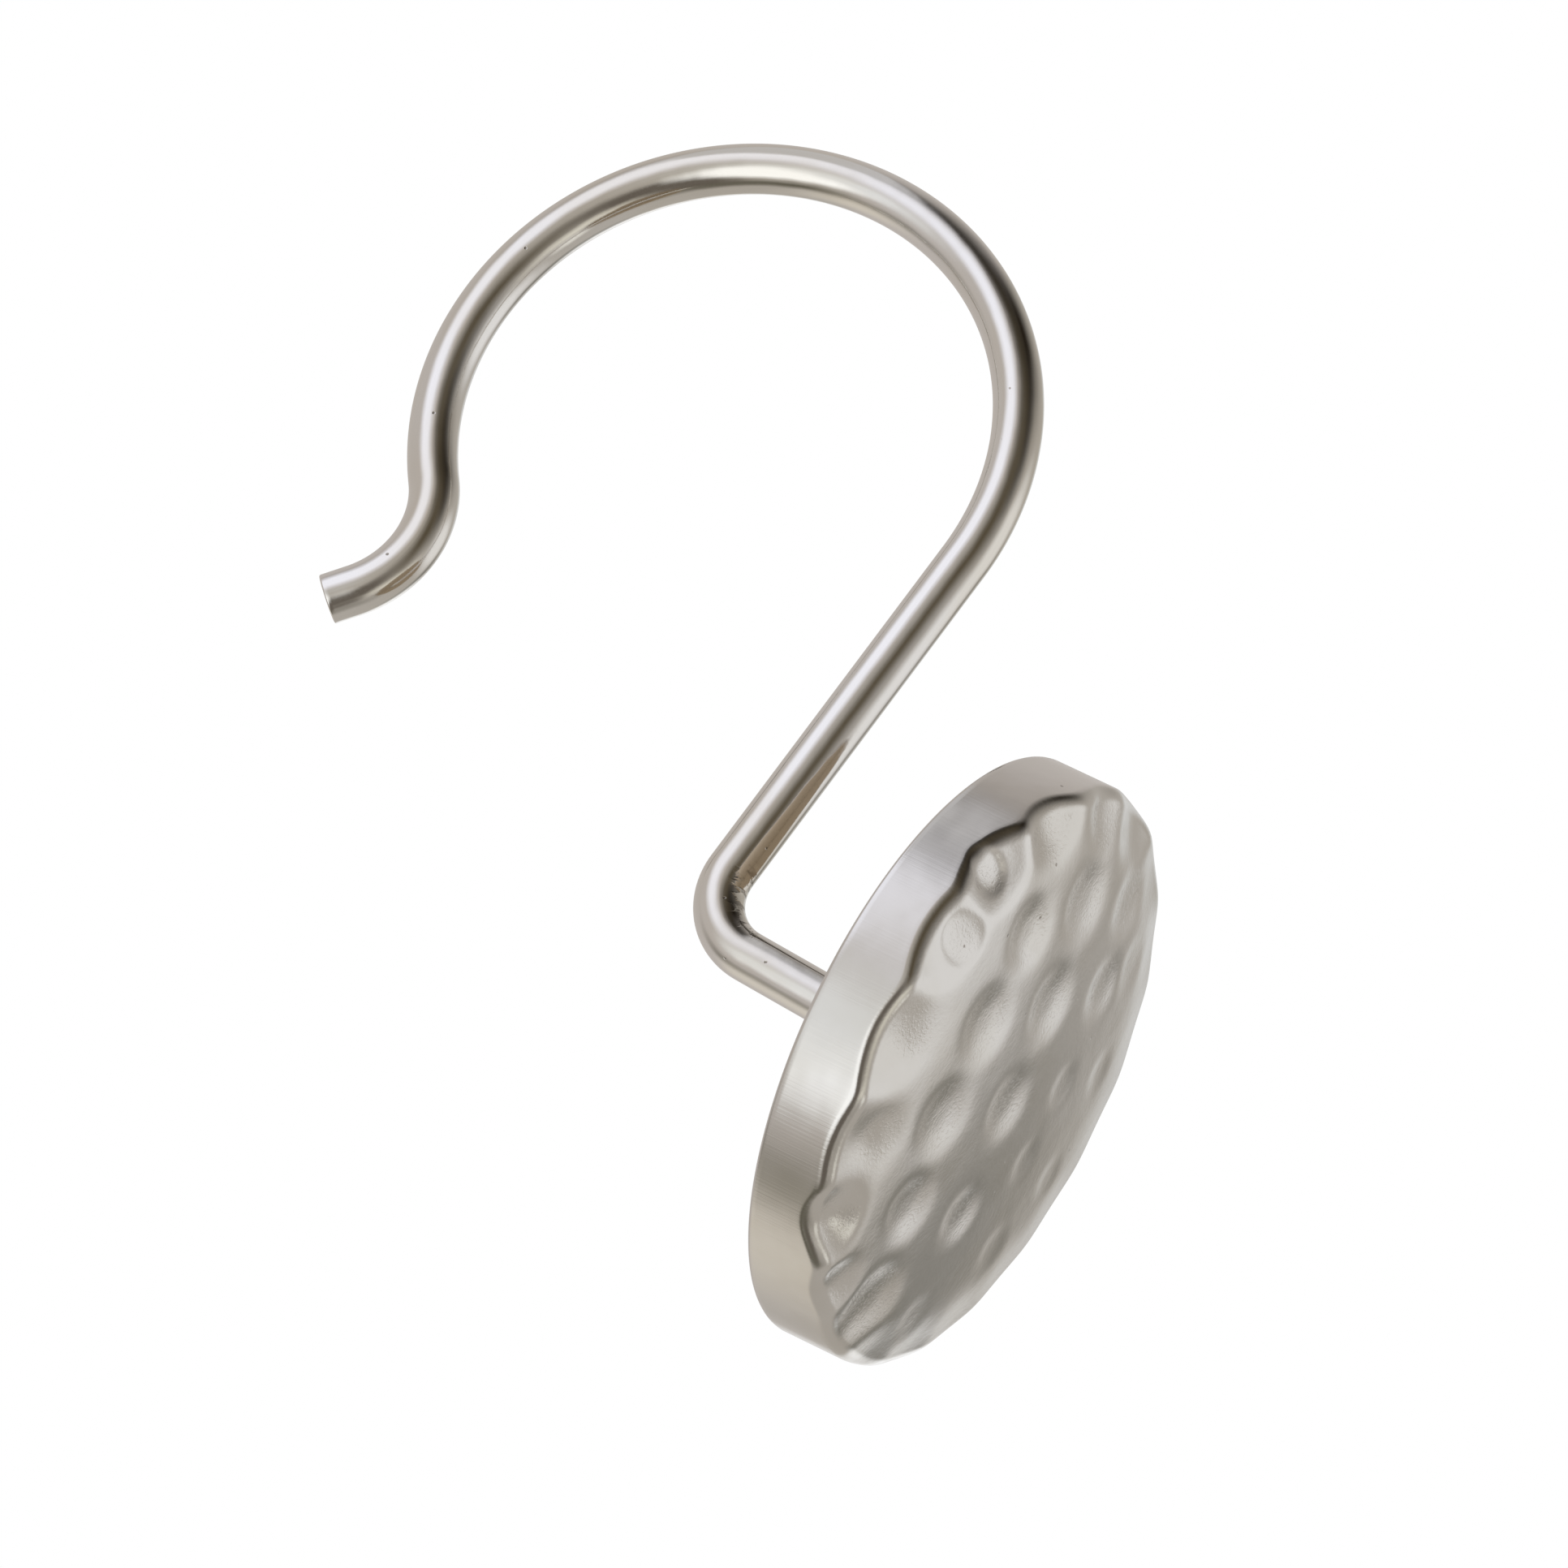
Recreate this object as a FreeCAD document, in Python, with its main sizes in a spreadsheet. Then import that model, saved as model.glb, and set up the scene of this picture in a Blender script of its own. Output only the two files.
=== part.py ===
import FreeCAD, Part
import math
import os
import Sketcher

# Curtain hook: a bent wire that hangs over a rod, with a hammered disc on its front end.
# Millimetres. The origin is the middle of the rod loop, the rod lies along Y, Z is up along the
# leg and X points forward, along the stub, to the disc.

SIZES = [
    # The wire, from the disc back to the tip
    ("wire_diameter", 3.15),
    ("stub_length", 12.6),
    ("bend_radius", 4.3),
    ("leg_length", 24.5),
    ("loop_radius", 18.3),
    ("loop_sweep", 221.7),
    ("flare_radius", 6.7),
    ("flare_turn", 80.5),
    ("tip_length", 1.8),
    # The blind socket in the disc's back, and the film of solder round the wire in it
    ("seat_depth", 3.5),
    ("solder_film", 0.05),
    # The disc
    ("disc_diameter", 38.0),
    ("rim_height", 5.2),
    ("front_edge_radius", 0.5),
    ("face_radius", 123.0),
    ("back_bevel", 0.3),
    ("disc_tilt", 4.0),
    ("disc_rise", 0.53),
    # The hammer's round end, how deep it strikes the face, and how far it strikes the rim down
    ("hammer_radius", 10.0),
    ("dent_depth", 0.4),
    ("edge_dent_drop", 0.8),
]

# Hammer marks on the face: place across and up it, as shares of the disc's radius, seen from the
# front, and the mark's depth and the hammer's radius, as shares of the usual ones
FACE_DENTS = [
    (-0.01, -0.07, 1.15, 0.6), (-0.16, 0.27, 1.3, 0.55), (0.30, 0.22, 0.8, 0.65), (0.38, -0.05, 1.0, 0.5),
    (0.20, -0.39, 1.1, 0.65), (-0.41, -0.30, 1.3, 0.55), (-0.50, -0.02, 1.3, 0.5), (-0.30, 0.57, 1.3, 0.55),
    (0.18, 0.51, 1.05, 0.65), (0.53, 0.37, 0.7, 0.8), (0.66, 0.06, 0.6, 0.8), (0.59, -0.30, 0.6, 0.8),
    (0.42, -0.62, 0.7, 0.8), (-0.15, -0.55, 1.3, 0.6), (-0.64, -0.56, 1.2, 0.9), (-0.59, 0.30, 1.3, 0.6),
    (-0.46, 0.78, 1.2, 0.7), (0.00, 0.75, 0.9, 0.75), (0.39, 0.63, 0.6, 0.9), (-0.74, 0.58, 1.5, 0.7),
    (-0.88, 0.32, 3.5, 0.22), (-0.875, 0.08, 2.2, 0.3), (-0.80, -0.25, 0.9, 1.0), (-0.48, -0.80, 1.8, 0.6),
    (-0.21, -0.87, 1.5, 0.6), (0.04, -0.80, 1.2, 0.7),
]

# Hammer marks that scallop the rim's front edge: angle round the disc from the right, seen from
# the front, how far the rim is struck down and the hammer's radius, as shares of the usual ones,
# and the strike's lean outwards in degrees
EDGE_DENTS = [
    (20, 0.35, 2.2, 12), (41, 0.4, 2.2, 12), (61, 0.65, 2.2, 12), (80, 0.85, 2.0, 12),
    (100, 1.2, 1.2, 12), (121, 0.5, 1.2, 12), (142, 0.88, 1.0, 12), (160.5, 1.89, 0.75, 16),
    (177, 1.51, 1.2, 16), (200.5, 1.06, 1.2, 10), (224.5, 1.09, 1.3, 10), (239.5, 1.34, 0.65, 12),
    (256.5, 0.54, 0.8, 12), (272, 0.5, 1.2, 12), (290, 0.7, 1.3, 12), (307, 0.7, 1.6, 12),
    (325, 0.6, 2.2, 12), (343, 0.55, 2.2, 12), (1, 0.45, 2.2, 12),
]

# Least volume, in cubic millimetres, that a hammer mark takes away
SMALLEST_DENT = 0.05

# The tilted socket's volume may differ from a straight bore's by this share
SOCKET_TOLERANCE = 0.02

# Where an edge counts as lying on a given circle or height, in millimetres
SAME_PLACE = 1e-4


def make_sheet(doc):
    sheet = doc.addObject("Spreadsheet::Sheet", "Sizes")
    for row, (name, value) in enumerate(SIZES, start=1):
        sheet.set(f"A{row}", name)
        sheet.set(f"B{row}", str(value))
        sheet.setAlias(f"B{row}", name)
    doc.recompute()
    return sheet


def origin_plane(body, role):
    return next(f for f in body.Origin.OriginFeatures if f.Role == role)


def new_sketch(body, name, role, offset=None):
    sketch = body.newObject("Sketcher::SketchObject", name)
    sketch.AttachmentSupport = [(origin_plane(body, role), "")]
    sketch.MapMode = "FlatFace"
    if offset is not None:
        sketch.AttachmentOffset = offset
    return sketch


def dimension(sketch, name, formula, *constraint):
    """Add a driving dimension to a sketch and bind it to the sheet."""
    index = sketch.addConstraint(Sketcher.Constraint(*constraint))
    sketch.renameConstraint(index, name)
    sketch.setExpression(f"Constraints.{name}", formula)


def bind(sketch, size, name, kind, line):
    dimension(sketch, name, f"Sizes.{name}", kind, line, size[name])


def bind_angle(sketch, size, name, curve):
    dimension(sketch, name, f"Sizes.{name} * 1 deg", "Angle", curve, math.radians(size[name]))


def relate(sketch, *relations):
    for relation in relations:
        sketch.addConstraint(Sketcher.Constraint(*relation))


def point(x, y):
    return FreeCAD.Vector(x, y, 0)


def polar(centre, radius, degrees):
    angle = math.radians(degrees)
    return centre + point(radius * math.cos(angle), radius * math.sin(angle))


def arc(centre, radius, first, last):
    circle = Part.Circle(centre, FreeCAD.Vector(0, 0, 1), radius)
    return Part.ArcOfCircle(circle, math.radians(first), math.radians(last))


START, END, CENTRE = 1, 2, 3
ORIGIN = (-1, 1)


def wire_route(body, size):
    """The wire's middle line in the XZ plane: stub, bend, leg, loop, flare and tip."""
    sketch = new_sketch(body, "Route", "XZ_Plane")
    stub_height = -(size["leg_length"] + size["bend_radius"])
    bend_centre = point(size["loop_radius"] + size["bend_radius"], -size["leg_length"])
    stub_start = point(bend_centre.x, stub_height)
    stub_end = point(bend_centre.x + size["stub_length"] + size["seat_depth"], stub_height)
    leg_top = point(size["loop_radius"], 0)
    leg_foot = point(size["loop_radius"], -size["leg_length"])

    # The flare leaves the loop outwards, so its middle is on the far side of the wire
    sweep = size["loop_sweep"]
    flare_centre = polar(point(0, 0), size["loop_radius"] + size["flare_radius"], sweep)
    flare_last = sweep - 180
    flare_first = flare_last - size["flare_turn"]
    tip_start = polar(flare_centre, size["flare_radius"], flare_first)
    tip_end = polar(tip_start, size["tip_length"], flare_first - 90)

    stub = sketch.addGeometry(Part.LineSegment(stub_end, stub_start))
    bend = sketch.addGeometry(arc(bend_centre, size["bend_radius"], 180, 270))
    leg = sketch.addGeometry(Part.LineSegment(leg_foot, leg_top))
    loop = sketch.addGeometry(arc(point(0, 0), size["loop_radius"], 0, sweep))
    flare = sketch.addGeometry(arc(flare_centre, size["flare_radius"], flare_first, flare_last))
    tip = sketch.addGeometry(Part.LineSegment(tip_start, tip_end))

    relate(
        sketch,
        ("Tangent", stub, END, bend, END),
        ("Tangent", bend, START, leg, START),
        ("Tangent", leg, END, loop, START),
        ("Tangent", loop, END, flare, END),
        ("Tangent", flare, START, tip, START),
        ("Coincident", loop, CENTRE, *ORIGIN),
        ("Horizontal", stub),
        ("Vertical", leg),
    )
    stub_run = size["stub_length"] + size["seat_depth"]
    dimension(sketch, "stub_run", "Sizes.stub_length + Sizes.seat_depth", "Distance", stub, stub_run)
    bind(sketch, size, "bend_radius", "Radius", bend)
    bind(sketch, size, "leg_length", "Distance", leg)
    bind(sketch, size, "loop_radius", "Radius", loop)
    bind_angle(sketch, size, "loop_sweep", loop)
    bind(sketch, size, "flare_radius", "Radius", flare)
    bind_angle(sketch, size, "flare_turn", flare)
    bind(sketch, size, "tip_length", "Distance", tip)
    return sketch


def make_wire(doc, size):
    body = doc.addObject("PartDesign::Body", "WireHook")
    body.Label = "wire_hook"
    route = wire_route(body, size)

    # The round section stands square to the stub's end
    section = new_sketch(body, "Section", "YZ_Plane")
    section.setExpression(
        "AttachmentOffset.Base.z",
        "Sizes.loop_radius + Sizes.bend_radius + Sizes.stub_length + Sizes.seat_depth",
    )
    middle = point(0, -(size["leg_length"] + size["bend_radius"]))
    ring = section.addGeometry(
        Part.Circle(middle, FreeCAD.Vector(0, 0, 1), size["wire_diameter"] / 2)
    )
    relate(section, ("PointOnObject", ring, CENTRE, -2))
    dimension(
        section, "drop", "-(Sizes.leg_length + Sizes.bend_radius)",
        "DistanceY", *ORIGIN, ring, CENTRE, middle.y,
    )
    bind(section, size, "wire_diameter", "Diameter", ring)

    wire = body.newObject("PartDesign::AdditivePipe", "Wire")
    wire.Profile = section
    wire.Spine = route
    body.Tip = wire
    return body


def face_centre_height(size):
    """Height of the middle of the face's large sphere above the disc's back, below zero."""
    rise = size["face_radius"] - size["front_edge_radius"]
    reach = size["disc_diameter"] / 2 - size["front_edge_radius"]
    return size["rim_height"] - math.sqrt(rise ** 2 - reach ** 2)


def disc_profile(body, size):
    """Half section of the disc: flat back, straight rim, rounded front edge and domed face."""
    sketch = new_sketch(body, "Profile", "XZ_Plane")
    radius = size["disc_diameter"] / 2
    edge = size["front_edge_radius"]
    edge_centre = point(radius - edge, size["rim_height"])
    face_centre = point(0, face_centre_height(size))
    crown = point(0, face_centre.y + size["face_radius"])
    meeting = math.degrees(math.atan2(edge_centre.y - face_centre.y, edge_centre.x))

    back = sketch.addGeometry(Part.LineSegment(point(0, 0), point(radius, 0)))
    rim = sketch.addGeometry(Part.LineSegment(point(radius, 0), point(radius, edge_centre.y)))
    front_edge = sketch.addGeometry(arc(edge_centre, edge, 0, meeting))
    face = sketch.addGeometry(arc(face_centre, size["face_radius"], meeting, 90))
    axis = sketch.addGeometry(Part.LineSegment(crown, point(0, 0)))

    relate(
        sketch,
        ("Coincident", back, START, *ORIGIN),
        ("Coincident", back, END, rim, START),
        ("Tangent", rim, END, front_edge, START),
        ("Tangent", front_edge, END, face, START),
        ("Coincident", face, END, axis, START),
        ("Coincident", axis, END, back, START),
        ("Horizontal", back),
        ("Vertical", rim),
        ("Vertical", axis),
        ("PointOnObject", face, CENTRE, -2),
    )
    dimension(sketch, "disc_radius", "Sizes.disc_diameter / 2", "Distance", back, radius)
    bind(sketch, size, "rim_height", "Distance", rim)
    bind(sketch, size, "front_edge_radius", "Radius", front_edge)
    bind(sketch, size, "face_radius", "Radius", face)
    return sketch


def back_edge(shape, radius):
    """Name of the round edge between the disc's back and its rim."""
    for number, edge in enumerate(shape.Edges, start=1):
        curve = edge.Curve
        if isinstance(curve, Part.Circle) and abs(curve.Radius - radius) < SAME_PLACE:
            if abs(curve.Center.z) < SAME_PLACE:
                return f"Edge{number}"
    raise RuntimeError("the disc's back edge wasn't found")


def edge_strike(size, around, drop, radius, lean):
    """Middle of a ball that strikes the rim down, leaning outwards from the disc's axis."""
    angle, slope = math.radians(around), math.radians(lean)
    rim = size["rim_height"] - drop * size["edge_dent_drop"]
    reach = radius * size["hammer_radius"]
    distance = size["disc_diameter"] / 2 + reach * math.sin(slope)
    height = rim + size["front_edge_radius"] + reach * math.cos(slope)
    return FreeCAD.Vector(-distance * math.sin(angle), distance * math.cos(angle), height)


def face_strike(size, across, up, depth, radius):
    """Middle of a ball that strikes the domed face square to it."""
    share = math.hypot(across, up)
    reach = size["face_radius"] + radius * size["hammer_radius"] - depth * size["dent_depth"]
    distance = share * size["disc_diameter"] / 2 * reach / size["face_radius"]
    height = face_centre_height(size) + math.sqrt(reach ** 2 - distance ** 2)
    return FreeCAD.Vector(-up / share * distance, across / share * distance, height)


def add_dents(doc, body, size):
    """Strike the edge first and then the face, from the outside inwards.

    Each ball lies on its side, so neither its poles nor its seam fall within its mark.
    """
    on_its_side = FreeCAD.Rotation(FreeCAD.Vector(0, 1, 0), -90)
    strikes = [(edge_strike(size, *dent), dent[2]) for dent in EDGE_DENTS]
    inwards = sorted(FACE_DENTS, key=lambda dent: -math.hypot(dent[0], dent[1]))
    strikes += [(face_strike(size, *dent), dent[3]) for dent in inwards]
    for number, (centre, radius) in enumerate(strikes, start=1):
        before = body.Tip.Shape.Volume
        dent = body.newObject("PartDesign::SubtractiveSphere", f"Dent{number:02d}")
        dent.setExpression("Radius", f"{radius} * Sizes.hammer_radius")
        dent.Placement = FreeCAD.Placement(centre, on_its_side)
        body.Tip = dent
        doc.recompute()
        if dent.Shape.isNull() or before - dent.Shape.Volume < SMALLEST_DENT:
            raise RuntimeError(f"{dent.Name} cut nothing")


def make_disc(doc, size):
    body = doc.addObject("PartDesign::Body", "HammeredDisc")
    body.Label = "hammered_disc"
    profile = disc_profile(body, size)
    blank = body.newObject("PartDesign::Revolution", "Blank")
    blank.Profile = profile
    blank.ReferenceAxis = (profile, ["V_Axis"])
    blank.Angle = 360
    doc.recompute()

    bevel = body.newObject("PartDesign::Chamfer", "BackBevel")
    bevel.Base = (blank, [back_edge(blank.Shape, size["disc_diameter"] / 2)])
    bevel.setExpression("Size", "Sizes.back_bevel")
    body.Tip = bevel
    doc.recompute()
    before = bevel.Shape.Volume

    # The socket follows the stub, which meets the back below its middle and not quite square
    mouth = new_sketch(body, "SocketMouth", "XY_Plane")
    mouth.setExpression("AttachmentOffset.Base.x", "Sizes.disc_rise")
    mouth.AttachmentOffset = FreeCAD.Placement(
        FreeCAD.Vector(size["disc_rise"], 0, 0),
        FreeCAD.Rotation(FreeCAD.Vector(0, 1, 0), size["disc_tilt"]),
    )
    mouth.setExpression("AttachmentOffset.Rotation.Angle", "Sizes.disc_tilt * 1 deg")
    socket_radius = size["wire_diameter"] / 2 + size["solder_film"]
    ring = mouth.addGeometry(Part.Circle(point(0, 0), FreeCAD.Vector(0, 0, 1), socket_radius))
    relate(mouth, ("Coincident", ring, CENTRE, *ORIGIN))
    dimension(
        mouth, "socket_radius", "Sizes.wire_diameter / 2 + Sizes.solder_film",
        "Radius", ring, socket_radius,
    )
    socket = body.newObject("PartDesign::Pocket", "Socket")
    socket.Profile = mouth
    socket.Midplane = True
    socket.setExpression("Length", "2 * Sizes.seat_depth")
    body.Tip = socket
    doc.recompute()
    bore = math.pi * socket_radius ** 2 * size["seat_depth"]
    if abs(before - socket.Shape.Volume - bore) > SOCKET_TOLERANCE * bore:
        raise RuntimeError("the socket wasn't cut to its depth")

    add_dents(doc, body, size)

    # The disc's axis points forward and, by its tilt, up; its middle stands above the stub's
    body.Placement = FreeCAD.Placement(
        FreeCAD.Vector(0, 0, 0),
        FreeCAD.Rotation(FreeCAD.Vector(0, 1, 0), 90 - size["disc_tilt"]),
    )
    body.setExpression("Placement.Rotation.Angle", "(90 - Sizes.disc_tilt) * 1 deg")
    body.setExpression(
        "Placement.Base.x",
        "Sizes.loop_radius + Sizes.bend_radius + Sizes.stub_length"
        " - Sizes.disc_rise * sin(Sizes.disc_tilt * 1 deg)",
    )
    body.setExpression(
        "Placement.Base.z",
        "-(Sizes.leg_length + Sizes.bend_radius) + Sizes.disc_rise * cos(Sizes.disc_tilt * 1 deg)",
    )
    return body


def check_document(doc, bodies):
    for item in doc.Objects:
        if "Invalid" in item.State or "Error" in item.State:
            raise RuntimeError(f"{item.Name} failed: {item.State}")
    for body in bodies:
        shape = body.Shape
        if shape.isNull() or not shape.isValid() or len(shape.Solids) != 1:
            raise RuntimeError(f"{body.Label} is not one valid solid")


def main():
    doc = FreeCAD.newDocument("curtain_hook")
    sheet = make_sheet(doc)
    size = {name: float(sheet.get(name)) for name, _ in SIZES}
    bodies = [make_wire(doc, size), make_disc(doc, size)]
    doc.recompute()
    check_document(doc, bodies)

    os.makedirs("parts", exist_ok=True)
    for body in bodies:
        body.Shape.exportStep(f"parts/{body.Label}.step")
        box = body.Shape.BoundBox
        print(body.Label, "volume", round(body.Shape.Volume, 2), "faces", len(body.Shape.Faces), box)


main()
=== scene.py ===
import math

import bpy
import numpy as np
from mathutils import Matrix, Vector


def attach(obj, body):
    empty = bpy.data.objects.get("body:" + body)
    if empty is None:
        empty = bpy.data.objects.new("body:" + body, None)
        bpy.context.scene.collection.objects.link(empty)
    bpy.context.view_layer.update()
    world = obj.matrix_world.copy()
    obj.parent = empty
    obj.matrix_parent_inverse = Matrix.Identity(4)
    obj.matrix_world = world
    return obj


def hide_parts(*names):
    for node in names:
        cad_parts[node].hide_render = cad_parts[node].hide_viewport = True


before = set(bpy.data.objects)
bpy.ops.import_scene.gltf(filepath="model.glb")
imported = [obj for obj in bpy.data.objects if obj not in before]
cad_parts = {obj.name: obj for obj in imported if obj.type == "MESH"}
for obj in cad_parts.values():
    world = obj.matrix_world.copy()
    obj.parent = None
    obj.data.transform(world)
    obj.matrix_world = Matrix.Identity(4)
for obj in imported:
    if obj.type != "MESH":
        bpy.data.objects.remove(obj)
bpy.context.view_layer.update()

MM = 0.001

# The wire, in millimetres and degrees, as in the model's source
WIRE_DIAMETER = 3.15
STUB_LENGTH = 12.6
BEND_RADIUS = 4.3
BEND_TURN = 90.0
LEG_LENGTH = 24.5
LOOP_RADIUS = 18.3
LOOP_SWEEP = 221.7
FLARE_RADIUS = 6.7
FLARE_TURN = 80.5
TIP_LENGTH = 1.8
SEAT_DEPTH = 3.5

# The small rounding of the tip's cut end, in millimetres, which the source leaves off
TIP_ROUNDING = 0.12

# The wire's mesh: longest step along the route, points round the section, rings on the rounding of
# the tip, and the rings on its flat end, as shares of that end's radius
WIRE_STEP = 0.22
WIRE_SIDES = 64
TIP_STEPS = 5
TIP_END_RINGS = (0.66, 0.33)

# The disc, in millimetres and degrees, as in the model's source
DISC_RADIUS = 19.0
RIM_HEIGHT = 5.2
EDGE_RADIUS = 0.5
FACE_RADIUS = 123.0
BACK_BEVEL = 0.3
DISC_TILT = 4.0
DISC_RISE = 0.53
HAMMER_RADIUS = 10.0
EDGE_DENT_DROP = 0.8

# The disc's mesh: points round a ring, then its rings from the back to the crown. The back's are
# shares of its radius and the bevel's are degrees. The others are numbers of rings, counted with
# the one that they start from.
DISC_SPOKES = 480
BACK_RINGS = (0.02, 0.25, 0.5, 0.75, 0.97)
BEVEL_RINGS = (0, 22, 45, 67)
RIM_RINGS = 16
ROUNDING_RINGS = 19
OUTER_FACE_RINGS = 45
INNER_FACE_RINGS = 90

# Radius where the face's outer rings meet its inner ones, and radius of the last ring
INNER_FACE_RADIUS = 13.0
CROWN_RADIUS = 0.1

# What the attribute "front" says of a point of the disc. It goes from -1 to 0 up the rim, and from
# 0 to 1 over the rounded edge.
ON_BACK = -2
ON_BEVEL = -1
ON_FACE = 1

# The rounding of the scalloped edge, and how softly its marks run out into the face, in millimetres
ROUNDING = 0.85
EDGE_DENT_SOFTNESS = 0.22

# How steep the walls of a mark on the face are: 1 for a bell shape, more for a flatter bottom
DENT_SQUARENESS = 1.5
SHARP_DENT_SQUARENESS = 4.0

# Marks on the face: place across and up, as shares of the disc's radius, seen from the front, and
# the mark's depth and half width in millimetres
FACE_DENTS = [
    (-0.025, -0.065, 0.29, 1.47), (-0.157, 0.255, 0.36, 1.56), (0.3, 0.19, 0.11, 1.01),
    (0.375, -0.07, 0.09, 0.92), (0.174, -0.393, 0.25, 1.29), (-0.375, -0.314, 0.34, 1.60),
    (-0.484, -0.009, 0.38, 1.60), (-0.31, 0.564, 0.32, 1.60), (0.176, 0.5, 0.26, 1.38),
    (0.56, 0.375, 0.08, 0.92), (0.68, 0.02, 0.07, 0.92), (0.6, -0.3, 0.08, 1.01),
    (0.4, -0.7, 0.11, 1.10), (-0.184, -0.566, 0.34, 1.43), (-0.62, -0.53, 0.24, 1.40),
    (-0.555, 0.3, 0.40, 1.45), (-0.43, 0.82, 0.30, 1.50), (0.03, 0.75, 0.26, 1.47),
    (0.33, 0.67, 0.14, 1.20), (-0.74, 0.6, 0.34, 1.70), (-0.82, -0.24, 0.15, 1.80),
    (-0.5, -0.8, 0.42, 1.35), (-0.22, -0.9, 0.26, 1.20), (0.05, -0.82, 0.43, 1.66),
]

# Two smaller marks with sharp borders, close to the rim
SHARP_DENTS = [(-0.885, 0.31, 0.20, 0.92), (-0.87, 0.08, 0.15, 1.15)]

# Marks on the rim's front edge: angle round the disc from the right, seen from the front, how far
# the rim is struck down and the hammer's radius, as shares of the usual ones, and the lean outwards
# in degrees
EDGE_DENTS = [
    (20, 0.35, 2.2, 12), (41, 0.4, 2.2, 12), (61, 0.65, 2.2, 12), (80, 0.85, 2.0, 12),
    (100, 1.2, 1.2, 12), (121, 0.5, 1.2, 12), (142, 0.88, 1.0, 12), (160.5, 1.89, 0.75, 16),
    (177, 1.51, 1.2, 16), (200.5, 1.06, 1.2, 10), (224.5, 1.09, 1.3, 10), (239.5, 1.34, 0.65, 12),
    (256.5, 0.54, 0.8, 12), (272, 0.5, 1.2, 12), (290, 0.7, 1.3, 12), (307, 0.7, 1.6, 12),
    (325, 0.6, 2.2, 12), (343, 0.55, 2.2, 12), (1, 0.45, 2.2, 12),
]


# Camera

# Place in metres, the directions of its own axes, and sensor and lens in millimetres
CAMERA_PLACE = (0.412438, -0.860769, -0.2991)
CAMERA_RIGHT = (0.79830683, 0.17839674, 0.5752224)
CAMERA_UP = (-0.45049555, -0.45700577, 0.76694164)
CAMERA_BACK = (0.39969985, -0.87138988, -0.28446389)
SENSOR_WIDTH = 36.0
LENS = 373.7


def make_camera():
    """The photograph's camera: low in front and to the right of the hook, and rolled."""
    data = bpy.data.cameras.new("camera")
    data.sensor_width = SENSOR_WIDTH
    data.lens = LENS
    data.clip_start = 0.01
    data.clip_end = 50.0
    camera = bpy.data.objects.new("camera", data)
    turn = Matrix((CAMERA_RIGHT, CAMERA_UP, CAMERA_BACK)).transposed().to_4x4()
    camera.matrix_world = Matrix.Translation(Vector(CAMERA_PLACE)) @ turn
    bpy.context.scene.collection.objects.link(camera)
    bpy.context.scene.camera = camera


# Meshes


def make_mesh(name, points, faces, places):
    """A smooth mesh in the frame, from points and places in millimetres."""
    mesh = bpy.data.meshes.new(name)
    mesh.from_pydata((np.asarray(points) * MM).tolist(), [], faces)
    mesh.validate()
    mesh.update()
    layer = mesh.attributes.new("place", "FLOAT_VECTOR", "POINT")
    layer.data.foreach_set("vector", np.asarray(places, np.float32).ravel())
    mesh.polygons.foreach_set("use_smooth", [True] * len(mesh.polygons))
    piece = bpy.data.objects.new(name, mesh)
    bpy.context.scene.collection.objects.link(piece)
    return piece


def add_numbers(piece, name, values):
    """Keeps a number for every point of a piece, for its material to read."""
    layer = piece.data.attributes.new(name, "FLOAT", "POINT")
    layer.data.foreach_set("value", np.asarray(values, np.float32))


def tube_faces(rings, sides):
    """Quads between closed rings of points, and a fan at each end.

    The middles of the first and last ring are the two points after the rings.
    """
    last = (rings - 1) * sides
    first_middle, last_middle = rings * sides, rings * sides + 1
    faces = []
    for side in range(sides):
        after = (side + 1) % sides
        for low in range(0, last, sides):
            high = low + sides
            faces.append((low + side, low + after, high + after, high + side))
        faces.append((after, side, first_middle))
        faces.append((last + side, last + after, last_middle))
    return faces


def wire_route():
    """Middle line of the wire in the XZ plane: points, headings and lengths from the socket."""
    runs = [
        (STUB_LENGTH + SEAT_DEPTH, 0.0),
        (BEND_RADIUS * math.radians(BEND_TURN), -1 / BEND_RADIUS),
        (LEG_LENGTH, 0.0),
        (LOOP_RADIUS * math.radians(LOOP_SWEEP), 1 / LOOP_RADIUS),
        (FLARE_RADIUS * math.radians(FLARE_TURN), -1 / FLARE_RADIUS),
        (TIP_LENGTH - TIP_ROUNDING, 0.0),
    ]
    x = LOOP_RADIUS + BEND_RADIUS + STUB_LENGTH + SEAT_DEPTH
    z = -(LEG_LENGTH + BEND_RADIUS)
    heading = math.pi
    along = 0.0
    route = [(x, z, heading, along)]
    for length, curvature in runs:
        steps = max(2, math.ceil(length / WIRE_STEP))
        step = length / steps
        for _ in range(steps):
            turn = curvature * step
            chord = step if turn == 0 else 2 / abs(curvature) * math.sin(abs(turn) / 2)
            x += chord * math.cos(heading + turn / 2)
            z += chord * math.sin(heading + turn / 2)
            heading += turn
            along += step
            route.append((x, z, heading, along))
    return route


def wire_rings():
    """The route's points with the wire's radius there, then its rounded tip and flat end."""
    radius = WIRE_DIAMETER / 2
    route = wire_route()
    rings = [(*stop, radius) for stop in route]
    x, z, heading, along = route[-1]
    for step in range(1, TIP_STEPS + 1):
        angle = math.radians(90) * step / TIP_STEPS
        ahead = TIP_ROUNDING * math.sin(angle)
        rings.append((
            x + ahead * math.cos(heading), z + ahead * math.sin(heading), heading, along + ahead,
            radius - TIP_ROUNDING * (1 - math.cos(angle)),
        ))
    *stop, radius = rings[-1]
    rings += [(*stop, radius * share) for share in TIP_END_RINGS]
    return rings


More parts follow.
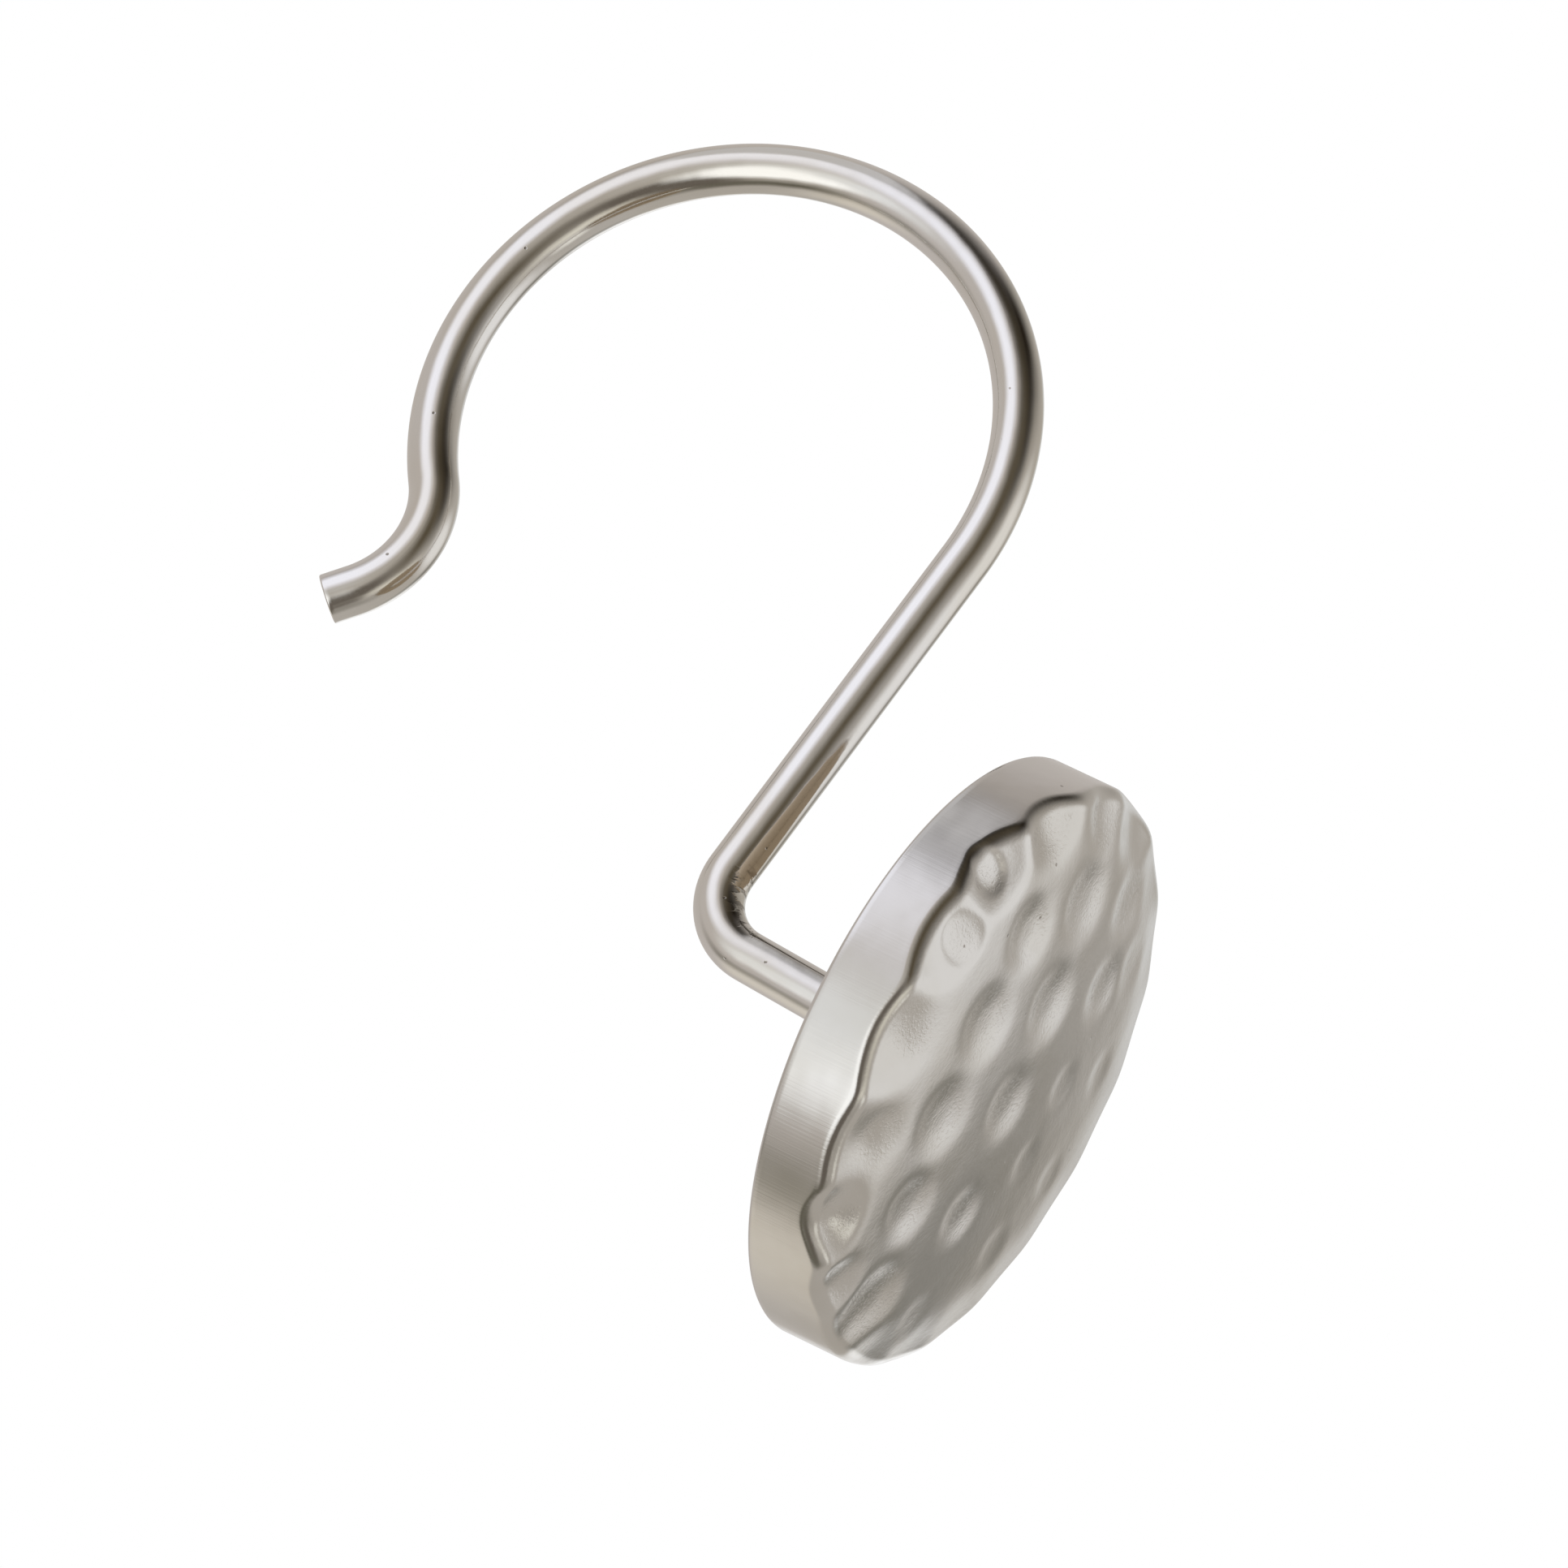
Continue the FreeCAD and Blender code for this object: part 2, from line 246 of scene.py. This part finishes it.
def make_wire():
    """The whole bent wire, from its end in the disc's socket to its tip."""
    rings = wire_rings()
    angles = np.linspace(0, 2 * math.pi, WIRE_SIDES, endpoint=False)
    points, places = [], []
    for x, z, heading, along, radius in rings:
        for angle in angles:
            out, side = radius * math.cos(angle), radius * math.sin(angle)
            points.append((x - out * math.sin(heading), side, z + out * math.cos(heading)))
            places.append((along, out, side))
    for x, z, _, along, _ in (rings[0], rings[-1]):
        points.append((x, 0.0, z))
        places.append((along, 0.0, 0.0))

    # The rings run clockwise as seen from the tip, so the faces are turned over
    faces = [face[::-1] for face in tube_faces(len(rings), WIRE_SIDES)]
    return make_mesh("bent_wire", points, faces, places)


def edge_balls():
    """Middle and radius of every ball that strikes the rim's front edge."""
    balls = []
    for around, drop, size, lean in EDGE_DENTS:
        angle, slope = math.radians(around), math.radians(lean)
        radius = size * HAMMER_RADIUS
        distance = DISC_RADIUS + radius * math.sin(slope)
        edge = RIM_HEIGHT + EDGE_RADIUS - drop * EDGE_DENT_DROP
        height = edge + radius * math.cos(slope)
        balls.append((-distance * math.sin(angle), distance * math.cos(angle), height, radius))
    return balls


def mark_depth(x, y):
    """How deep the marks on the face go over each point."""
    total = np.zeros_like(x)
    for dents, squareness in (
        (FACE_DENTS, DENT_SQUARENESS), (SHARP_DENTS, SHARP_DENT_SQUARENESS),
    ):
        for across, up, depth, width in dents:
            away = (x + up * DISC_RADIUS) ** 2 + (y - across * DISC_RADIUS) ** 2
            total += depth * np.exp(-(away / (2 * width ** 2)) ** squareness)
    return total


def struck_face(x, y):
    """Height of the dented face over each point, as if it had no rounded edge."""
    rise = FACE_RADIUS - EDGE_RADIUS
    low = RIM_HEIGHT - math.sqrt(rise ** 2 - (DISC_RADIUS - EDGE_RADIUS) ** 2)
    height = low + np.sqrt(FACE_RADIUS ** 2 - x ** 2 - y ** 2)

    total = np.ones_like(height)
    for across, up, middle, radius in edge_balls():
        left = radius ** 2 - (x - across) ** 2 - (y - up) ** 2
        under = middle - np.sqrt(np.maximum(left, 0))
        total += np.where(left > 0, np.exp((height - under) / EDGE_DENT_SOFTNESS), 0)
    height -= EDGE_DENT_SOFTNESS * np.log(total)

    height -= mark_depth(x, y)
    return height


def disc_rings(across, up):
    """Rings from the middle of the back to the crown: radius, height along the ring, and front."""
    flat = DISC_RADIUS - BACK_BEVEL
    rim = struck_face(DISC_RADIUS * across, DISC_RADIUS * up) - ROUNDING
    rings = [(flat * share, np.zeros(DISC_SPOKES), ON_BACK) for share in BACK_RINGS]
    for angle in np.radians(BEVEL_RINGS):
        height = np.full(DISC_SPOKES, BACK_BEVEL * (1 - math.cos(angle)))
        rings.append((flat + BACK_BEVEL * math.sin(angle), height, ON_BEVEL))
    for share in np.linspace(0, 1, RIM_RINGS):
        rings.append((DISC_RADIUS, BACK_BEVEL + share * (rim - BACK_BEVEL), share - 1))
    for angle in np.radians(np.linspace(0, 90, ROUNDING_RINGS)[1:]):
        out = DISC_RADIUS - ROUNDING * (1 - math.cos(angle))
        drop = ROUNDING * (1 - math.sin(angle))
        rings.append((out, struck_face(out * across, out * up) - drop, math.sin(angle)))
    for start, end, count in (
        (DISC_RADIUS - ROUNDING, INNER_FACE_RADIUS, OUTER_FACE_RINGS),
        (INNER_FACE_RADIUS, CROWN_RADIUS, INNER_FACE_RINGS),
    ):
        for out in np.linspace(start, end, count)[1:]:
            rings.append((out, struck_face(out * across, out * up), ON_FACE))
    return rings


def make_disc():
    """Flat back, straight rim up to the struck face's border, rounded edge and the struck face."""
    turns = np.linspace(0, 2 * math.pi, DISC_SPOKES, endpoint=False)
    across, up = np.cos(turns), np.sin(turns)
    rings = disc_rings(across, up)
    crown = struck_face(np.zeros(1), np.zeros(1))[0]
    points = np.vstack([
        *(np.column_stack((out * across, out * up, height)) for out, height, _ in rings),
        (0.0, 0.0, 0.0),
        (0.0, 0.0, crown),
    ])
    fronts = np.repeat([front for _, _, front in rings], DISC_SPOKES)
    fronts = np.append(fronts, (ON_BACK, ON_FACE))

    tilt = math.radians(DISC_TILT)
    turn = np.array([
        (math.sin(tilt), 0.0, math.cos(tilt)),
        (0.0, 1.0, 0.0),
        (-math.cos(tilt), 0.0, math.sin(tilt)),
    ])
    base = np.array([
        LOOP_RADIUS + BEND_RADIUS + STUB_LENGTH - DISC_RISE * math.sin(tilt),
        0.0,
        -(LEG_LENGTH + BEND_RADIUS) + DISC_RISE * math.cos(tilt),
    ])
    faces = tube_faces(len(rings), DISC_SPOKES)
    piece = make_mesh("hammered_dome", points @ turn.T + base, faces, points)
    add_numbers(piece, "front", fronts)
    marks = mark_depth(points[:, 0], points[:, 1])
    add_numbers(piece, "mark", np.where(fronts == ON_FACE, marks, 0))
    return piece


# Materials


class Graph:
    """A material's or the world's nodes, made and joined in one call each."""

    def __init__(self, owner):
        owner.use_nodes = True
        self.tree = owner.node_tree
        self.tree.nodes.clear()

    def feed(self, socket, value):
        """Joins another node's output to a socket, or sets the socket to a plain value."""
        if isinstance(value, bpy.types.NodeSocket):
            self.tree.links.new(value, socket)
        else:
            socket.default_value = value

    def add(self, kind, inputs=None, **settings):
        """A node of the given kind, with its inputs by name or number."""
        node = self.tree.nodes.new(kind)
        for name, value in settings.items():
            setattr(node, name, value)
        for name, value in (inputs or {}).items():
            self.feed(node.inputs[name], value)
        return node

    def maths(self, operation, *values):
        """The result of one operation."""
        inputs = dict(enumerate(values))
        return self.add("ShaderNodeMath", inputs, operation=operation).outputs[0]

    def total(self, *parts):
        """The sum of pairs of a value and its weight."""
        values = [self.maths("MULTIPLY", value, weight) for value, weight in parts]
        result = values[0]
        for value in values[1:]:
            result = self.maths("ADD", result, value)
        return result

    def spread(self, value, low, high, to_low=0.0, to_high=1.0):
        """A smooth step from to_low to to_high, as the value goes from low to high."""
        inputs = {
            "Value": value, "From Min": low, "From Max": high, "To Min": to_low, "To Max": to_high,
        }
        node = self.add("ShaderNodeMapRange", inputs, interpolation_type="SMOOTHSTEP")
        return node.outputs["Result"]

    def mix(self, share, first, second, kind="Color"):
        """The first colour where share is 0 and the second where it is 1. Float mixes numbers."""
        node = self.add("ShaderNodeMix", data_type="RGBA" if kind == "Color" else "FLOAT")
        sockets = {socket.identifier: socket for socket in node.inputs}
        self.feed(sockets["Factor_Float"], share)
        self.feed(sockets[f"A_{kind}"], first)
        self.feed(sockets[f"B_{kind}"], second)
        return next(s for s in node.outputs if s.identifier == f"Result_{kind}")

    def attribute(self, name):
        """The outputs of one of the piece's own attributes."""
        return self.add("ShaderNodeAttribute", attribute_name=name).outputs

    def place(self, scale=(1.0, 1.0, 1.0)):
        """The piece's own straightened coordinates, in millimetres, stretched by scale."""
        inputs = {"Vector": self.attribute("place")["Vector"], "Scale": scale}
        return self.add("ShaderNodeMapping", inputs).outputs["Vector"]

    def noise(self, vector, scale=1.0, detail=3.0, roughness=0.5):
        """Cloudy values round a half."""
        inputs = {"Vector": vector, "Scale": scale, "Detail": detail, "Roughness": roughness}
        return self.add("ShaderNodeTexNoise", inputs).outputs["Fac"]

    def metal(self, tint, rough, height, strength, distance):
        """Ends the graph in a bare metal. The relief's distance is in metres."""
        relief = {"Height": height, "Strength": strength, "Distance": distance}
        normal = self.add("ShaderNodeBump", relief).outputs["Normal"]
        shader = self.add("ShaderNodeBsdfPrincipled", {
            "Base Color": tint, "Metallic": 1.0, "Roughness": rough, "Normal": normal,
        })
        self.add("ShaderNodeOutputMaterial", {"Surface": shader.outputs["BSDF"]})


def new_material(name):
    """An empty material and its graph."""
    material = bpy.data.materials.new(name)
    return material, Graph(material)


def colour(red, green, blue):
    """An opaque colour."""
    return (red, green, blue, 1.0)


def specks(graph, per_mm, share, size):
    """Small round pits: one in the given share of the cells, of the given size in millimetres."""
    inputs = {"Vector": graph.place(), "Scale": per_mm}
    cells = graph.add("ShaderNodeTexVoronoi", inputs)
    chosen = graph.add("ShaderNodeSeparateColor", {"Color": cells.outputs["Color"]})
    keep = graph.maths("LESS_THAN", chosen.outputs["Red"], share)
    border = size * per_mm
    floor = border * 0.4
    hole = graph.spread(cells.outputs["Distance"], floor, border, 1.0, 0.0)
    return graph.maths("MULTIPLY", keep, hole)


def creased_and_shaded(graph):
    """Where the wire is creased, from 0 to 1: on the inner side of its sharp bend. It sets both the
    creases' relief and the painted shade in them.
    """
    bend_start = STUB_LENGTH + SEAT_DEPTH
    bend_end = bend_start + BEND_RADIUS * math.radians(BEND_TURN)
    place = graph.add("ShaderNodeSeparateXYZ", {"Vector": graph.place()}).outputs
    crease_and_shade = graph.spread(graph.noise(graph.place((1.6, 0.7, 0.7))), 0.5, 0.6)

    # A length in millimetres, where the creases begin on it, and where they are at their strongest
    for length, begins, full in (
        (place["X"], bend_start - 1.0, bend_start + 1.0),
        (place["X"], bend_end + 1.5, bend_end - 0.5),
        (place["Y"], -0.5, -1.2),
    ):
        crease_and_shade = graph.maths("MULTIPLY", crease_and_shade, graph.spread(length, begins, full))
    return crease_and_shade


def wire_material():
    """Polished nickel: faint drawing lines, warmer patches, a few pits, and creases in the bend
    with painted shade in them.
    """
    material, graph = new_material("polished_nickel")
    patches = graph.noise(graph.place((0.06, 0.25, 0.25)), detail=4.0)
    pits = specks(graph, per_mm=0.85, share=0.18, size=0.12)
    crease_and_shade = creased_and_shaded(graph)
    lines = graph.noise(graph.place((0.05, 7.0, 7.0)), roughness=0.6)
    grain = graph.noise(graph.place(), scale=5.0, detail=4.0, roughness=0.6)
    waves = graph.noise(graph.place((0.22, 0.35, 0.35)), detail=2.0)

    tint = graph.mix(
        graph.spread(patches, 0.42, 0.68), colour(0.78, 0.765, 0.745), colour(0.73, 0.70, 0.645)
    )
    tint = graph.mix(graph.maths("MULTIPLY", pits, 0.75), tint, colour(0.22, 0.19, 0.16))
    # Painted shade: the creases on the inner side of the bend are darkened nearly to black
    tint = graph.mix(graph.maths("MULTIPLY", crease_and_shade, 0.6), tint, colour(0.12, 0.10, 0.08))
    rough = graph.spread(graph.maths("ADD", lines, grain), 0.7, 1.3, 0.07, 0.15)
    rough = graph.maths("ADD", rough, graph.maths("MULTIPLY", pits, 0.25))
    height = graph.total((lines, 0.35), (waves, 9.0), (grain, 0.12), (pits, -4.0), (crease_and_shade, -3.0))
    graph.metal(tint, rough, height, strength=0.5, distance=0.000012)
    return material


def disc_material():
    """Satin nickel: brushed up the rim, grainy on the face, and duller and warmer on the back."""
    material, graph = new_material("satin_nickel")
    front = graph.attribute("front")["Fac"]
    face = graph.spread(front, 0.4, 1.0)
    back = graph.spread(front, -1.0, -1.9)
    patches = graph.noise(graph.place((0.12, 0.12, 0.12)), detail=4.0)
    pits = specks(graph, per_mm=0.7, share=0.12, size=0.14)
    grain = graph.noise(graph.place(), scale=3.2, detail=5.0, roughness=0.65)
    brushed = graph.noise(graph.place((7.0, 7.0, 0.12)), roughness=0.6)
    waves = graph.noise(graph.place((0.2, 0.2, 0.2)), detail=2.0)

    # The hammer leaves the floors of the marks a little rough
    floors = graph.spread(graph.attribute("mark")["Fac"], 0.05, 0.16)
    crumbs = graph.noise(graph.place(), scale=4.5, detail=2.0, roughness=0.6)
    crumbs = graph.maths("MULTIPLY", floors, graph.spread(crumbs, 0.48, 0.68))

    tint = graph.mix(
        graph.spread(patches, 0.4, 0.65), colour(0.72, 0.705, 0.685), colour(0.67, 0.65, 0.615)
    )
    tint = graph.mix(graph.maths("MULTIPLY", pits, 0.6), tint, colour(0.25, 0.22, 0.19))
    tint = graph.mix(back, tint, colour(0.50, 0.42, 0.31))
    rim_rough = graph.spread(brushed, 0.3, 0.7, 0.10, 0.14)
    face_rough = graph.spread(grain, 0.3, 0.7, 0.10, 0.16)
    rough = graph.mix(face, rim_rough, face_rough, "Float")
    rough = graph.maths("ADD", rough, graph.maths("MULTIPLY", back, 0.15))
    rim_height = graph.maths("MULTIPLY", brushed, graph.maths("SUBTRACT", 1.0, face))
    face_height = graph.maths("MULTIPLY", grain, face)
    height = graph.total(
        (rim_height, 0.5), (face_height, 1.0), (waves, 5.0), (pits, -1.5), (crumbs, 0.55)
    )
    graph.metal(tint, rough, height, strength=0.6, distance=0.00002)
    return material


# Studio


def direction(azimuth, elevation):
    """The unit vector of a direction, where azimuth 0 is towards -Y and 90 towards +X."""
    a, e = math.radians(azimuth), math.radians(elevation)
    return Vector((math.sin(a) * math.cos(e), -math.cos(a) * math.cos(e), math.sin(e)))


# The cloth tent round the hook: azimuth, elevation, half width, half height, roll, softness of the
# border, and brightness in red, green and blue. Each panel lies over the ones before it.
TENT_CLOTH = colour(0.51, 0.48, 0.44)
PANELS = [
    # Pale side wall, and the lit and shaded walls in front of the disc's face
    (-85, 8, 1.70, 1.30, 71, 0.09, (0.58, 0.54, 0.51)),
    (116, 24, 0.72, 0.46, -5, 0.68, (0.90, 0.89, 0.88)),
    (158, 6, 0.29, 0.41, -8, 0.80, (0.265, 0.255, 0.23)),
    (97, -12, 0.32, 0.20, 0, 0.80, (0.92, 0.90, 0.84)),
    # White backdrop behind the hook
    (182, 3, 0.24, 0.54, 100, 0.93, (1.15, 1.16, 1.17)),
    (186, 26, 0.35, 0.35, 5, 0.83, (0.73, 0.73, 0.72)),
    # Dark gaps above and behind the camera
    (7, 56, 1.48, 0.60, -12, 0.96, (0.012, 0.012, 0.014)),
    (37, 72, 1.05, 0.77, 67, 1.00, (0.02, 0.015, 0.01)),
    (32, 22, 0.60, 1.21, 32, 1.00, (0.11, 0.09, 0.06)),
    (50, -41, 1.04, 0.39, -52, 0.57, (0.16, 0.14, 0.12)),
    # Reflector beside the camera
    (71, -14, 0.56, 0.33, 75, 0.99, (0.83, 0.80, 0.71)),
    # Two soft boxes, and the pale cloth between them
    (-41, 20, 0.75, 0.53, -55, 0.72, (1.09, 1.10, 1.19)),
    (1, -42, 0.50, 0.60, 27, 0.54, (1.33, 1.35, 1.36)),
    (-22, -25, 0.41, 0.65, -42, 1.00, (0.92, 0.93, 0.93)),
    # Dark seam over the first soft box, and the floor of the tent
    (-60, 49, 0.47, 0.27, -28, 0.35, (0.64, 0.63, 0.64)),
    (178, -86, 0.41, 1.60, -99, 1.00, (0.14, 0.13, 0.10)),
    (-146, -57, 0.78, 0.44, -53, 1.00, (0.76, 0.71, 0.63)),
]
PANEL_THICKNESS = 1.2
TENT_RADIUS = 1.0

# The floor's width and its height under the frame's origin, in metres
FLOOR_SIZE = 6.0
FLOOR_HEIGHT = -1.25


def make_tent():
    """What the metal mirrors: a cloth tent with soft panels, which only reflections see."""
    bpy.ops.mesh.primitive_uv_sphere_add(segments=96, ring_count=48, radius=TENT_RADIUS)
    tent = bpy.context.object
    tent.name = "studio_tent"
    material, graph = new_material("tent_cloth")
    source = graph.add("ShaderNodeTexCoord").outputs["Object"]
    look = TENT_CLOTH
    for azimuth, elevation, width, height, roll, soft, light in PANELS:
        middle = direction(azimuth, elevation)
        a, turn = math.radians(azimuth), math.radians(roll)
        right = Vector((math.cos(a), math.sin(a), 0.0))
        up = middle.cross(right)
        across = math.cos(turn) * right + math.sin(turn) * up
        along = -math.sin(turn) * right + math.cos(turn) * up
        axes = Matrix((across, along, middle)).transposed()
        local = graph.add("ShaderNodeMapping", {
            "Vector": source, "Location": middle, "Rotation": axes.to_euler(),
            "Scale": (width, height, PANEL_THICKNESS),
        }, vector_type="TEXTURE")
        inputs = {"Vector": local.outputs["Vector"]}
        ball = graph.add("ShaderNodeTexGradient", inputs, gradient_type="SPHERICAL")
        share = graph.spread(ball.outputs["Fac"], 0.0, soft)
        look = graph.mix(share, look, colour(*light))
    glow = graph.add("ShaderNodeEmission", {"Color": look, "Strength": 1.0})
    graph.add("ShaderNodeOutputMaterial", {"Surface": glow.outputs["Emission"]})
    tent.data.materials.append(material)
    for ray in ("camera", "diffuse", "transmission", "volume_scatter", "shadow"):
        setattr(tent, f"visible_{ray}", False)


def make_floor():
    """A plain pale floor, well below the hook."""
    bpy.ops.mesh.primitive_plane_add(size=FLOOR_SIZE, location=(0.0, 0.0, FLOOR_HEIGHT))
    floor = bpy.context.object
    floor.name = "studio_floor"
    material, graph = new_material("pale_floor")
    shader = graph.add("ShaderNodeBsdfPrincipled", {
        "Base Color": colour(0.86, 0.86, 0.86), "Roughness": 0.9,
    })
    graph.add("ShaderNodeOutputMaterial", {"Surface": shader.outputs["BSDF"]})
    floor.data.materials.append(material)


def make_lamp(name, azimuth, elevation, distance, size, power):
    """A round lamp that faces the frame's origin, which reflections don't see."""
    data = bpy.data.lights.new(name, "AREA")
    data.shape = "DISK"
    data.size = size
    data.energy = power
    lamp = bpy.data.objects.new(name, data)
    towards = direction(azimuth, elevation)
    lamp.location = towards * distance
    lamp.rotation_euler = towards.to_track_quat("Z", "Y").to_euler()
    lamp.visible_glossy = False
    bpy.context.scene.collection.objects.link(lamp)


def make_world():
    """White where the camera, glass or metal looks at it, and a plain pale light elsewhere."""
    world = bpy.data.worlds.new("studio")
    bpy.context.scene.world = world
    graph = Graph(world)
    rays = graph.add("ShaderNodeLightPath").outputs
    seen = graph.maths("MAXIMUM", rays["Is Camera Ray"], rays["Is Glossy Ray"])
    seen = graph.maths("MAXIMUM", seen, rays["Is Transmission Ray"])
    shade = graph.mix(seen, colour(0.75, 0.75, 0.75), colour(1.0, 1.0, 1.0))
    light = graph.add("ShaderNodeBackground", {"Color": shade, "Strength": 1.0})
    graph.add("ShaderNodeOutputWorld", {"Surface": light.outputs["Background"]})


def dress(piece, material, node):
    """Puts a piece in the place of a CAD node, and gives both the same metal."""
    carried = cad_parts[node].data.materials
    carried.clear()
    carried.append(material)
    piece.data.materials.append(material)
    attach(piece, "root")
    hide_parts(node)


make_camera()
make_world()
make_floor()
make_tent()
make_lamp("key_lamp", azimuth=-41, elevation=40, distance=1.5, size=0.9, power=12.0)

dress(make_wire(), wire_material(), "wire_hook")
dress(make_disc(), disc_material(), "hammered_disc")

bpy.context.scene.view_settings.view_transform = "Standard"
